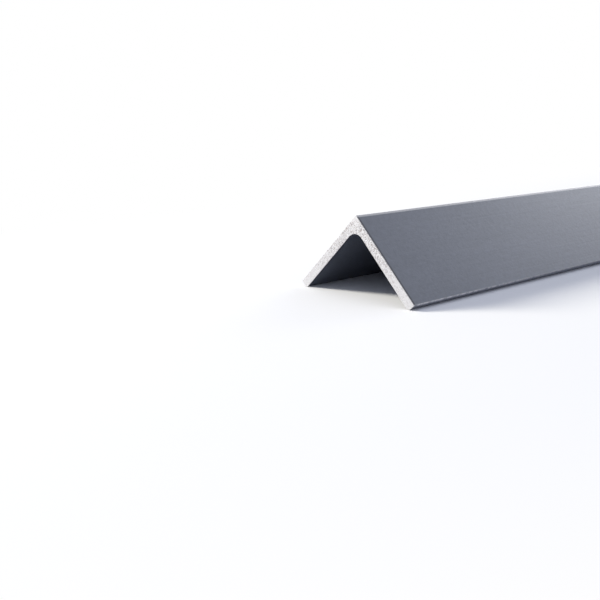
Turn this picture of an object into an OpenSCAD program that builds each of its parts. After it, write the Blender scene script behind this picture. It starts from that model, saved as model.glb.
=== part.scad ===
// Hot rolled steel equal angle, a straight bar of one section from end to end.
// It lies on its two toes with the heel up. Millimetres, +Z up, bar along X.
// The origin is on the floor, under the middle of the bar.

/* [Section] */
// Width of each leg, from the heel to the toe
leg_w = 90; // [60:1:150]
// Thickness of each leg
leg_t = 8; // [7:0.5:12]
// Radius of the root, where the legs meet inside
root_r = 10; // [2:0.5:16]
// Radius of the inner corner of each toe
toe_r = 3.3; // [1:0.1:5]
// Radius that the rolls leave on the outer corner of each toe
toe_edge_r = 1; // [0.3:0.1:1.9]
// Radius that the rolls leave on the heel
heel_r = 0.8; // [0.3:0.1:2]

/* [Bar] */
// Length that the bar is cut to
bar_l = 1500; // [500:100:6000]

/* [Hidden] */
$fn = 128;

// How far a cutter or a fillet runs past the corner it works on
lap = 0.5;
// Each leg falls at 45 degrees, and what stands lowest is the round of toe_r
toe_centre_w = leg_w - toe_r;
toe_centre_t = leg_t - toe_r;
heel_z = (toe_centre_w + toe_centre_t) / sqrt(2) + toe_r;

// The sliver between a square corner at the origin and an arc of radius r
// that touches both of its sides: a fillet adds it, a rounded edge loses it
module corner_sliver(r) {
    difference() {
        translate([-lap, -lap]) square(r + lap);
        translate([r, r]) circle(r);
    }
}

// One leg along +X, its outer face on the X axis and its toe rounded
module leg_profile() {
    difference() {
        square([leg_w, leg_t]);
        translate([leg_w, leg_t]) rotate(180) corner_sliver(toe_r);
        translate([leg_w, 0]) rotate(90) corner_sliver(toe_edge_r);
    }
}

// Both legs at a right angle, with the root filled and the heel broken
module section_profile() {
    difference() {
        union() {
            leg_profile();
            mirror([1, -1]) leg_profile();
            translate([leg_t, leg_t]) corner_sliver(root_r);
        }
        corner_sliver(heel_r);
    }
}

module angle_section() {
    color("#6f7480")
        translate([-bar_l / 2, 0, 0])
            rotate([90, 0, 90])
                linear_extrude(bar_l)
                    translate([0, heel_z]) rotate(-135) section_profile();
}

angle_section();
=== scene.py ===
import math

import bmesh
import bpy
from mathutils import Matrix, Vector


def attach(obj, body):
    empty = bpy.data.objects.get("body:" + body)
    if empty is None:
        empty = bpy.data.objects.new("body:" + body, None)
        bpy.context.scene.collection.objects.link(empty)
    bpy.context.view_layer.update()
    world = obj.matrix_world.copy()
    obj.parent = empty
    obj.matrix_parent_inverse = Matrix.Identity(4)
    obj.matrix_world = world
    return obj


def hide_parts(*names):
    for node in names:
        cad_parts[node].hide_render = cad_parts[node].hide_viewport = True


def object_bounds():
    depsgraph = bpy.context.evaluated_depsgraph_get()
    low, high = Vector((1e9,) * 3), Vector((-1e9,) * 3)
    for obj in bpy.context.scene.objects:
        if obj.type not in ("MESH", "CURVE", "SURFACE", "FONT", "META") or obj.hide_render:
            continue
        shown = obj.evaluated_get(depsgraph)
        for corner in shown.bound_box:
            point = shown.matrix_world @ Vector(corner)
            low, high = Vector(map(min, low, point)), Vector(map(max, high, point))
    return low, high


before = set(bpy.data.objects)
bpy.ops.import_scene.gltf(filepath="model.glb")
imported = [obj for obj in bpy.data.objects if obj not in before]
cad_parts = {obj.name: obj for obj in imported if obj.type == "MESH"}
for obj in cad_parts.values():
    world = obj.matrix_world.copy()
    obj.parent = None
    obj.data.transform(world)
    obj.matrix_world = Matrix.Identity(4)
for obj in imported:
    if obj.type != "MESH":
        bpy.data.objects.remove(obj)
cadLow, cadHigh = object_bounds()

legFall = math.radians(45)  # the angle at which each leg falls from the heel
slant = math.sqrt(0.5)  # its sine and its cosine
samePlace = 1e-6  # metres within which two places are one


# Camera

cameraView = {
    "lens": 51.22,
    "sensor": 36.0,
    "azimuth": -42.26,  # 0 looks along +Y, 90 along -X
    "elevation": 13.18,
    "place": (-1.2428, -0.4759, 0.1580),
    "clipStart": 0.01,
}


def makeCamera(view):
    turn = math.radians(view["azimuth"])
    lift = math.radians(view["elevation"])
    back = Vector((math.sin(turn) * math.cos(lift), -math.cos(turn) * math.cos(lift), math.sin(lift)))
    data = bpy.data.cameras.new("photoCamera")
    data.lens = view["lens"]
    data.sensor_width = view["sensor"]
    data.clip_start = view["clipStart"]
    camera = bpy.data.objects.new("photoCamera", data)
    bpy.context.scene.collection.objects.link(camera)
    camera.location = view["place"]
    camera.rotation_mode = "QUATERNION"
    camera.rotation_quaternion = (-back).to_track_quat("-Z", "Y")
    bpy.context.scene.camera = camera
    print("camera placed at", view["place"])


# Shader maths: a wire is an output socket, and each operator on it adds one Math node

class Wire:
    def __init__(self, shader, socket):
        self.shader = shader
        self.socket = socket

    def compute(self, operation, *values):
        return self.shader.add("ShaderNodeMath", {"operation": operation}, dict(enumerate(values)))

    def __add__(self, other):
        return self.compute("ADD", self, other)

    def __radd__(self, other):
        return self.compute("ADD", other, self)

    def __sub__(self, other):
        return self.compute("SUBTRACT", self, other)

    def __rsub__(self, other):
        return self.compute("SUBTRACT", other, self)

    def __mul__(self, other):
        return self.compute("MULTIPLY", self, other)

    def __rmul__(self, other):
        return self.compute("MULTIPLY", other, self)

    def __pow__(self, other):
        return self.compute("POWER", self, other)

    def __abs__(self):
        return self.compute("ABSOLUTE", self)

    def largest(self, other):
        return self.compute("MAXIMUM", self, other)


noiseMiddle = 0.5  # the value that a noise swings round


class Shader:
    def __init__(self, owner):
        owner.use_nodes = True
        self.tree = owner.node_tree
        self.tree.nodes.clear()

    # Adds a node: its settings first, then its inputs by name or number, each a value or a wire
    def add(self, kind, settings=None, inputs=None, output=0):
        node = self.tree.nodes.new(kind)
        for key, value in (settings or {}).items():
            setattr(node, key, value)
        for key, value in (inputs or {}).items():
            if isinstance(value, Wire):
                self.tree.links.new(value.socket, node.inputs[key])
            else:
                node.inputs[key].default_value = value
        return Wire(self, node.outputs[output]) if node.outputs else None

    def place(self):
        return self.add("ShaderNodeTexCoord", output="Object")

    def split(self, vector):
        node = self.add("ShaderNodeSeparateXYZ", inputs={0: vector}).socket.node
        return [Wire(self, output) for output in node.outputs]

    # A noise with spots of one size, drawn out along the axes whose scale is under 1
    def noise(self, vector, look):
        scaled = self.add("ShaderNodeMapping", inputs={"Vector": vector, "Scale": look["scale"]})
        return self.add("ShaderNodeTexNoise", inputs={
            "Vector": scaled,
            "Scale": 1 / look["size"],
            "Detail": look["detail"],
            "Roughness": look["rough"],
        })

    # Three random values from 0 to 1 for each small cell
    def cells(self, vector, size):
        inputs = {"Vector": vector, "Scale": 1 / size}
        return self.split(self.add("ShaderNodeTexVoronoi", inputs=inputs, output="Color"))

    # Goes smoothly from start to end as the value goes from the first limit to the second
    def ramp(self, value, limits, start=0.0, end=1.0):
        first, second = limits
        inputs = {"Value": value, "From Min": first, "From Max": second, "To Min": start, "To Max": end}
        return self.add("ShaderNodeMapRange", {"interpolation_type": "SMOOTHSTEP"}, inputs)

    # 1 up to the first limit, 0 past the second
    def band(self, value, limits):
        return self.ramp(value, limits, 1.0, 0.0)

    # Sockets 6 and 7 of a Mix node are its two colours, and output 2 is the colour that it gives
    def mixColours(self, share, first, second):
        settings = {"data_type": "RGBA", "clamp_factor": True}
        return self.add("ShaderNodeMix", settings, {0: share, 6: first, 7: second}, output=2)

    # 1 for the rays that see a surface: from the camera, in gloss and through glass
    def seen(self):
        node = self.add("ShaderNodeLightPath").socket.node
        kinds = ("Is Camera Ray", "Is Glossy Ray", "Is Transmission Ray")
        camera, glossy, through = (Wire(self, node.outputs[kind]) for kind in kinds)
        return camera.largest(glossy).largest(through)

    def finish(self, surface):
        self.add("ShaderNodeOutputMaterial", inputs={"Surface": surface})

    def finishSteel(self, look, colour, roughness, height):
        inputs = {"Strength": look["relief"], "Distance": look["reliefDepth"], "Height": height}
        relief = self.add("ShaderNodeBump", inputs=inputs)
        self.finish(self.add("ShaderNodeBsdfPrincipled", inputs={
            "Base Color": colour,
            "Metallic": look["metallic"],
            "IOR": look["gloss"],
            "Roughness": roughness,
            "Normal": relief,
        }))


# The bar's sizes. Its length, leg width and heel height come from the frame

angleBar = {
    "legThickness": 0.008,
    "rootRadius": 0.010,
    "toeRadius": 0.0033,
    "toeEdgeRadius": 0.0010,
    "heelRadius": 0.0008,
    "arris": 0.0004,  # broken edge round the two cut ends
    # Faces across each round
    "rootFaces": 16,
    "toeFaces": 10,
    "edgeFaces": 6,
    "arrisFaces": 2,
    # Degrees between two faces
    "flatUpTo": 0.1,  # that become one
    "smoothUpTo": 40,  # that are shaded as one
}
angleBar["length"] = cadHigh.x - cadLow.x
angleBar["legWidth"] = (cadHigh.y - angleBar["toeEdgeRadius"]) / slant + 2 * angleBar["toeEdgeRadius"]
angleBar["heelHeight"] = cadHigh.z + angleBar["heelRadius"] * (1 / slant - 1)

# How the bevel tool rounds an edge to a true arc
trueArc = {"offset_type": "OFFSET", "profile": 0.5, "affect": "EDGES", "clamp_overlap": False}


def deselectAll():
    if bpy.context.object and bpy.context.object.mode != "OBJECT":
        bpy.ops.object.mode_set(mode="OBJECT")
    bpy.ops.object.select_all(action="DESELECT")


# In edit mode, leaves selected only the faces or edges that pass the test
def selectWhere(piece, kind, test):
    bpy.ops.mesh.select_all(action="DESELECT")
    bpy.ops.mesh.select_mode(type=kind)
    mesh = bmesh.from_edit_mesh(piece.data)
    for part in mesh.faces if kind == "FACE" else mesh.edges:
        if test(part):
            part.select_set(True)
    mesh.select_flush_mode()
    bmesh.update_edit_mesh(piece.data)


def runsAlong(edge, y, z):
    return all(abs(v.co.y - y) < samePlace and abs(v.co.z - z) < samePlace for v in edge.verts)


def roundEdges(piece, places, radius, faces):
    selectWhere(piece, "EDGE", lambda edge: any(runsAlong(edge, y, z) for y, z in places))
    bpy.ops.mesh.bevel(offset=radius, segments=faces, **trueArc)


# Modelled with the heel on the X axis, one leg flat and one hanging, then turned onto its toes
def modelBar(sizes):
    width = sizes["legWidth"]
    thickness = sizes["legThickness"]
    deselectAll()
    bpy.ops.mesh.primitive_cube_add(size=1, location=(0, -width / 2, -thickness / 2),
                                    scale=(sizes["length"], width, thickness))
    bar = bpy.context.object
    bar.name = "angleBar"
    bpy.ops.object.transform_apply(location=True, rotation=True, scale=True)

    # The hanging leg comes out of the flat one's underside, in the strip next to the heel
    bpy.ops.object.mode_set(mode="EDIT")
    bpy.ops.mesh.select_all(action="SELECT")
    bpy.ops.mesh.bisect(plane_co=(0, -thickness, 0), plane_no=(0, 1, 0))
    selectWhere(bar, "FACE", lambda face: face.normal.z < -slant and face.calc_center_median().y > -thickness)
    bpy.ops.mesh.extrude_region_move(TRANSFORM_OT_translate={"value": (0, 0, thickness - width)})
    bpy.ops.mesh.select_all(action="SELECT")
    bpy.ops.mesh.dissolve_limited(angle_limit=math.radians(sizes["flatUpTo"]))

    roundEdges(bar, [(-thickness, -thickness)], sizes["rootRadius"], sizes["rootFaces"])
    roundEdges(bar, [(-width, -thickness), (-thickness, -width)], sizes["toeRadius"], sizes["toeFaces"])
    roundEdges(bar, [(-width, 0), (0, -width)], sizes["toeEdgeRadius"], sizes["edgeFaces"])
    roundEdges(bar, [(0, 0)], sizes["heelRadius"], sizes["edgeFaces"])

    # The broken edge at both ends
    outermost = sizes["length"] - samePlace
    selectWhere(bar, "EDGE", lambda edge: abs(edge.verts[0].co.x + edge.verts[1].co.x) > outermost)
    bpy.ops.mesh.bevel(offset=sizes["arris"], segments=sizes["arrisFaces"], **trueArc)

    # A ring round the middle of the bar, then each end face parted from the heel to the root
    bpy.ops.mesh.select_all(action="SELECT")
    bpy.ops.mesh.bisect(plane_co=(0, 0, 0), plane_no=(1, 0, 0))
    selectWhere(bar, "FACE", lambda face: abs(face.normal.x) > slant)
    bpy.ops.mesh.bisect(plane_co=(0, 0, 0), plane_no=(0, slant, -slant))

    # With no window open the rotate tool turns the other way, so the angle is negative
    bpy.ops.mesh.select_all(action="SELECT")
    bpy.ops.transform.rotate(value=-legFall, orient_axis="X", orient_type="GLOBAL", center_override=(0, 0, 0))
    bpy.ops.transform.translate(value=(0, 0, sizes["heelHeight"]))
    bpy.ops.mesh.normals_make_consistent(inside=False)
    bpy.ops.object.mode_set(mode="OBJECT")
    bpy.ops.object.shade_smooth_by_angle(angle=math.radians(sizes["smoothUpTo"]))
    weighted = bar.modifiers.new("flatFaces", "WEIGHTED_NORMAL")
    weighted.keep_sharp = True
    bpy.ops.object.modifier_apply(modifier=weighted.name)
    print("bar modelled:", len(bar.data.polygons), "faces")
    return bar


# Blue-grey rolled skin: satin, with a fine grain, faint rolling lines, light heel and toe corners that are
# partly wear and partly painted highlight, painted reflected light on the toe face and a painted dark
# reflection along each cut end

rolledSkin = {
    "dark": (0.084, 0.096, 0.126, 1),
    "light": (0.127, 0.143, 0.190, 1),
    # light colour of wear on the heel and toe, and their painted highlight
    "wornHighlight": (0.62, 0.62, 0.65, 1),
    # painted dark reflection along the skin by each cut end
    "endDarkReflection": (0.035, 0.038, 0.050, 1),
    "metallic": 0.55,
    "gloss": 1.7,  # index of refraction
    "roughness": 0.31,
    "relief": 0.45,
    "reliefDepth": 0.0004,

    "grain": {"size": 0.0040, "scale": (1, 1, 1), "detail": 4, "rough": 0.72},
    "lines": {"size": 0.0022, "scale": (0.02, 1, 1), "detail": 2, "rough": 0.6},
    "patches": {"size": 0.045, "scale": (0.35, 1, 1), "detail": 3, "rough": 0.55},
    "rubsAndGlints": {"size": 0.006, "scale": (1, 0.1, 0.1), "detail": 3, "rough": 0.7},

    # What the noises give to the tone, the roughness and the height of the relief
    "tone": 0.5,  # 0 is dark and 1 is light
    "grainTone": 1.3,
    "lineTone": 0.25,
    "patchTone": 0.5,
    "grainRoughness": 0.06,
    "patchRoughness": 0.05,
    "grainHeight": 0.6,
    "lineHeight": 0.4,

    # Each band is full up to the first distance and gone by the second. The heel and toe bands are wear with
    # a painted highlight, the toe face band is painted reflected light, and the end band is a painted dark
    # reflection
    "heelWornHighlight": (0.0018, 0.0028),  # down the leg from the heel
    "toeWornHighlight": (0.0003, 0.0009),  # up the leg from the toe
    "toeWornHighlightDepth": (0.0014, 0.0022),  # into the leg from its outer face
    "toeFace": (0.0008, 0.0014),  # up the leg from the toe, all through its thickness
    "endDarkReflectionWidth": (0.0016, 0.0028),  # along the bar from its end
    "endDarkReflectionShare": 0.9,

    # How far the heel, the toe and the toe face go to the light colour of wear and painted highlight, from 0
    # to 1
    "heelWornHighlightShare": 0.5,
    "toeFaceReflectionShare": 0.12,
    "rubbedAndGlinting": (0.35, 0.60),  # values of the noise at which the toe's wear and painted highlight is weakest and whole; it breaks the line up like glints
    "leastRubbedAndGlinting": 0.35,
    "wornHighlightFades": (0.03, 0.28),  # distances from the end of the bar
    "wornHighlightInside": 0.2,
}


def makeRolledSkin(look, sizes):
    material = bpy.data.materials.new("rolledSkin")
    shader = Shader(material)
    place = shader.place()
    x, y, z = shader.split(place)
    grain = shader.noise(place, look["grain"])
    lines = shader.noise(place, look["lines"])
    patches = shader.noise(place, look["patches"])
    rubsAndGlints = shader.noise(place, look["rubsAndGlints"])

    # Where a point lies in the section: down the leg from the heel, and into it from the outer face
    drop = sizes["heelHeight"] - z
    down = (drop + abs(y)) * slant
    deep = (drop - abs(y)) * slant
    fromToe = sizes["legWidth"] - down
    fromEnd = sizes["length"] / 2 - abs(x)

    # Painted highlight with some wear along the toe, broken up along the bar and fading away from its ends
    broken = shader.ramp(rubsAndGlints, look["rubbedAndGlinting"], look["leastRubbedAndGlinting"], 1.0)
    broken = broken * shader.ramp(fromEnd, look["wornHighlightFades"], 1.0, look["wornHighlightInside"])
    toeWornHighlight = shader.band(fromToe, look["toeWornHighlight"]) * shader.band(deep, look["toeWornHighlightDepth"])
    # Painted reflected light on the toe face
    toeFace = shader.band(fromToe, look["toeFace"])
    # Painted highlight with some wear along the heel
    heelWornHighlight = shader.band(down, look["heelWornHighlight"])
    wornHighlight = (toeWornHighlight * broken).largest(heelWornHighlight * look["heelWornHighlightShare"]).largest(toeFace * look["toeFaceReflectionShare"])
    # Painted dark reflection along the skin by each cut end
    endDarkReflection = shader.band(fromEnd, look["endDarkReflectionWidth"])

    grainSwing = grain - noiseMiddle
    lineSwing = lines - noiseMiddle
    patchSwing = patches - noiseMiddle
    tone = look["tone"] + look["grainTone"] * grainSwing
    tone = tone + look["lineTone"] * lineSwing + look["patchTone"] * patchSwing
    skin = shader.mixColours(tone, look["dark"], look["light"])
    skin = shader.mixColours(look["endDarkReflectionShare"] * endDarkReflection, skin, look["endDarkReflection"])
    colour = shader.mixColours(wornHighlight, skin, look["wornHighlight"])
    roughness = look["roughness"] + look["grainRoughness"] * grainSwing + look["patchRoughness"] * patchSwing
    height = look["grainHeight"] * grain + look["lineHeight"] * lines
    shader.finishSteel(look, colour, roughness, height)
    return material


# Bare cut end: pale steel, peppered with small dark grains that thin out towards the toes and the heel

cutSteel = {
    "bright": (0.67, 0.67, 0.695, 1),
    "grey": (0.555, 0.555, 0.575, 1),
    "warmGrain": (0.27, 0.22, 0.20, 1),
    "coolGrain": (0.20, 0.20, 0.24, 1),
    "metallic": 0.35,
    "gloss": 1.5,  # index of refraction
    "roughness": 0.50,
    "relief": 0.20,
    "reliefDepth": 0.0002,

    "mottle": {"size": 0.0009, "scale": (1, 1, 1), "detail": 4, "rough": 0.7},
    "greyToBright": (0.35, 0.65),  # values of the mottle
    "mottleRoughness": 0.2,

    "grainSize": 0.0009,
    "fineGrainSize": 0.0005,
    "darkCells": (0.30, 0.18),  # random values at which a cell starts to darken and is dark
    "grainDark": 0.85,
    "fineGrainDark": 0.55,
    "grainRoughness": 0.1,
    "grainPit": 0.6,

    # Heights between which the grains thin out, and what is left of them
    "thinsToToe": (0.0, 0.045),
    "leastAtToe": 0.2,
    "thinsToHeel": (0.058, 0.066),
    "leastAtHeel": 0.3,
}


def makeCutSteel(look):
    material = bpy.data.materials.new("cutSteel")
    shader = Shader(material)
    place = shader.place()
    z = shader.split(place)[2]
    mottle = shader.noise(place, look["mottle"])
    cell, hue = shader.cells(place, look["grainSize"])[:2]
    fineCell = shader.cells(place, look["fineGrainSize"])[0]

    peppered = shader.ramp(z, look["thinsToToe"], look["leastAtToe"], 1.0)
    peppered = peppered * shader.ramp(z, look["thinsToHeel"], 1.0, look["leastAtHeel"])
    grains = shader.ramp(cell, look["darkCells"], 0.0, look["grainDark"])
    fineGrains = shader.ramp(fineCell, look["darkCells"], 0.0, look["fineGrainDark"])
    dark = grains.largest(fineGrains) * peppered

    pale = shader.mixColours(shader.ramp(mottle, look["greyToBright"]), look["grey"], look["bright"])
    grainColour = shader.mixColours(hue, look["warmGrain"], look["coolGrain"])
    colour = shader.mixColours(dark, pale, grainColour)
    roughness = look["roughness"] + look["mottleRoughness"] * (mottle - noiseMiddle)
    roughness = roughness + look["grainRoughness"] * dark
    height = mottle - look["grainPit"] * dark
    shader.finishSteel(look, colour, roughness, height)
    return material


def dressBar(bar, sizes):
    mesh = bar.data
    mesh.materials.clear()
    mesh.materials.append(makeRolledSkin(rolledSkin, sizes))
    mesh.materials.append(makeCutSteel(cutSteel))
    cutFrom = sizes["length"] / 2 - sizes["arris"] - samePlace
    for face in mesh.polygons:
        isCut = all(abs(mesh.vertices[v].co.x) > cutFrom for v in face.vertices)
        face.material_index = 1 if isCut else 0
    print("materials on", bar.name, [m.name for m in mesh.materials])


# The bar's own map for baking: the cut ends in two rows of strips, and over them the skin in two halves.
# Its lengths are shares of the map's side

bakeMap = {
    "name": "OFBake",
    "margin": 0.005,
    "stripLength": 0.485,  # one leg of a cut end
    "stripHeight": 0.062,
    "stripRow": 0.072,
    "secondStrip": 0.5,
}


# The middle ring's points in order from the root's middle, the distance round the section to each of them,
# and as the last distance the whole way round
def walkSection(mesh):
    ring = {v.index: v.co for v in mesh.vertices if abs(v.co.x) < samePlace}
    beside = {index: [] for index in ring}
    for edge in mesh.edges:
        first, second = edge.vertices
        if first in ring and second in ring:
            beside[first].append(second)
            beside[second].append(first)
    path = [min((i for i in ring if abs(ring[i].y) < samePlace), key=lambda i: ring[i].z)]
    while len(path) < len(ring):
        path.append(min((i for i in beside[path[-1]] if i not in path), key=lambda i: ring[i].y))
    points = [ring[i] for i in path]
    distances = [0]
    for here, ahead in zip(points, points[1:] + points[:1]):
        distances.append(distances[-1] + (ahead - here).length)
    return points, distances


# Along the bar runs across the map, and round the section runs up it
def mapSkinFace(mesh, face, places, section, sizes, look):
    points, distances = section
    margin = look["margin"]
    half = sizes["length"] / 2
    isRight = face.center.x > 0
    skinFrom = 2 * look["stripRow"]
    band = (1 - skinFrom) / 2
    corners = [mesh.vertices[v].co for v in face.vertices]
    steps = [min(range(len(points)), key=lambda i: (points[i].yz - corner.yz).length) for corner in corners]
    if 0 in steps and len(points) - 1 in steps:  # the face that closes the ring
        steps = [step or len(points) for step in steps]
    for loop, corner, step in zip(face.loop_indices, corners, steps):
        across = corner.x / half + (0 if isRight else 1)
        up = distances[step] / distances[-1]
        places[loop].uv = (margin + (1 - 2 * margin) * across,
                           skinFrom + band * isRight + margin + (band - 2 * margin) * up)


# The broken edge is laid out flat round the end face, so that it has its width on the map too
def mapCutFace(mesh, face, places, sizes, look):
    side = 1 if face.center.y > 0 else -1
    end = 1 if face.center.x > 0 else -1
    scale = look["stripLength"] / (sizes["legWidth"] + 2 * sizes["arris"])
    for loop, index in zip(face.loop_indices, face.vertices):
        corner = mesh.vertices[index]
        outward = corner.normal.yz.normalized()
        y, z = corner.co.yz + outward * (sizes["length"] / 2 - abs(corner.co.x))
        down = (sizes["heelHeight"] - z + side * y) * slant + sizes["arris"]
        deep = (sizes["heelHeight"] - z - side * y) * slant + sizes["arris"]
        up = look["stripHeight"] - scale * deep if side == end else scale * deep
        places[loop].uv = (look["margin"] + look["secondStrip"] * (side > 0) + scale * down,
                           look["margin"] + look["stripRow"] * (end > 0) + up)


def mapBar(bar, sizes, look):
    mesh = bar.data
    section = walkSection(mesh)
    places = mesh.uv_layers.new(name=look["name"]).data
    for face in mesh.polygons:
        if face.material_index == 0:
            mapSkinFace(mesh, face, places, section, sizes, look)
        else:
            mapCutFace(mesh, face, places, sizes, look)
    print("bake map on", bar.name)


# Studio: a white room that the metal mirrors, a white floor that keeps the shadow, and soft lamps

studio = {
    "floorSize": 14.0,
    "floorDrop": 0.0001,
    "floorColour": (0.92, 0.93, 0.95, 1),
    "turnsWhite": (0.22, 0.55),  # distances from the bar's middle line, to pure white at the second
    "white": (1, 1, 1, 1),
    "fill": (0.45, 0.475, 0.56, 1),  # what the room gives to matt surfaces
}

lamps = {
    "key": {
        "place": (-3.6, 4.3, 2.6),
        "aim": (-0.6, 0, 0),
        "size": 1.3,
        "power": 430,
        "colour": (1, 0.955, 0.84),
    },
    "sheen": {
        "place": (3.3, 0.7, 1.5),
        "aim": (0, 0, 0.05),
        "size": 2.2,
        "power": 30,
        "colour": (1, 1, 1),
    },
}


def makeFloor(look, sizes):
    deselectAll()
    bpy.ops.mesh.primitive_plane_add(size=look["floorSize"], location=(0, 0, -look["floorDrop"]))
    floor = bpy.context.object
    floor.name = "floor"
    material = bpy.data.materials.new("floorWhite")
    shader = Shader(material)
    x, y = shader.split(shader.place())[:2]
    past = (abs(x) - sizes["length"] / 2).largest(0)  # beyond the bar's end
    away = (past * past + y * y) ** 0.5  # from its middle line
    share = shader.seen() * shader.ramp(away, look["turnsWhite"])
    matt = shader.add("ShaderNodeBsdfDiffuse", inputs={"Color": look["floorColour"]})
    white = shader.add("ShaderNodeEmission", inputs={"Color": look["white"], "Strength": 1.0})
    shader.finish(shader.add("ShaderNodeMixShader", inputs={0: share, 1: matt, 2: white}))
    floor.data.materials.append(material)
    print("floor laid,", look["floorSize"], "m wide")


def makeRoom(look):
    world = bpy.data.worlds.new("studioRoom")
    bpy.context.scene.world = world
    shader = Shader(world)
    colour = shader.mixColours(shader.seen(), look["fill"], look["white"])
    light = shader.add("ShaderNodeBackground", inputs={"Color": colour, "Strength": 1.0})
    shader.add("ShaderNodeOutputWorld", inputs={"Surface": light})
    print("room lit")


def makeLamps(rows):
    for name, row in rows.items():
        data = bpy.data.lights.new(name, "AREA")
        data.shape = "SQUARE"
        data.size = row["size"]
        data.energy = row["power"]
        data.color = row["colour"]
        lamp = bpy.data.objects.new(name, data)
        bpy.context.scene.collection.objects.link(lamp)
        lamp.location = row["place"]
        lamp.rotation_euler = (Vector(row["aim"]) - Vector(row["place"])).to_track_quat("-Z", "Y").to_euler()
        lamp.visible_camera = False
    print("lamps:", ", ".join(rows))


makeCamera(cameraView)
bar = modelBar(angleBar)
dressBar(bar, angleBar)
mapBar(bar, angleBar, bakeMap)
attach(bar, "root")
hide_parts("angle_section")
makeFloor(studio, angleBar)
makeRoom(studio)
makeLamps(lamps)
bpy.context.scene.view_settings.view_transform = "Standard"
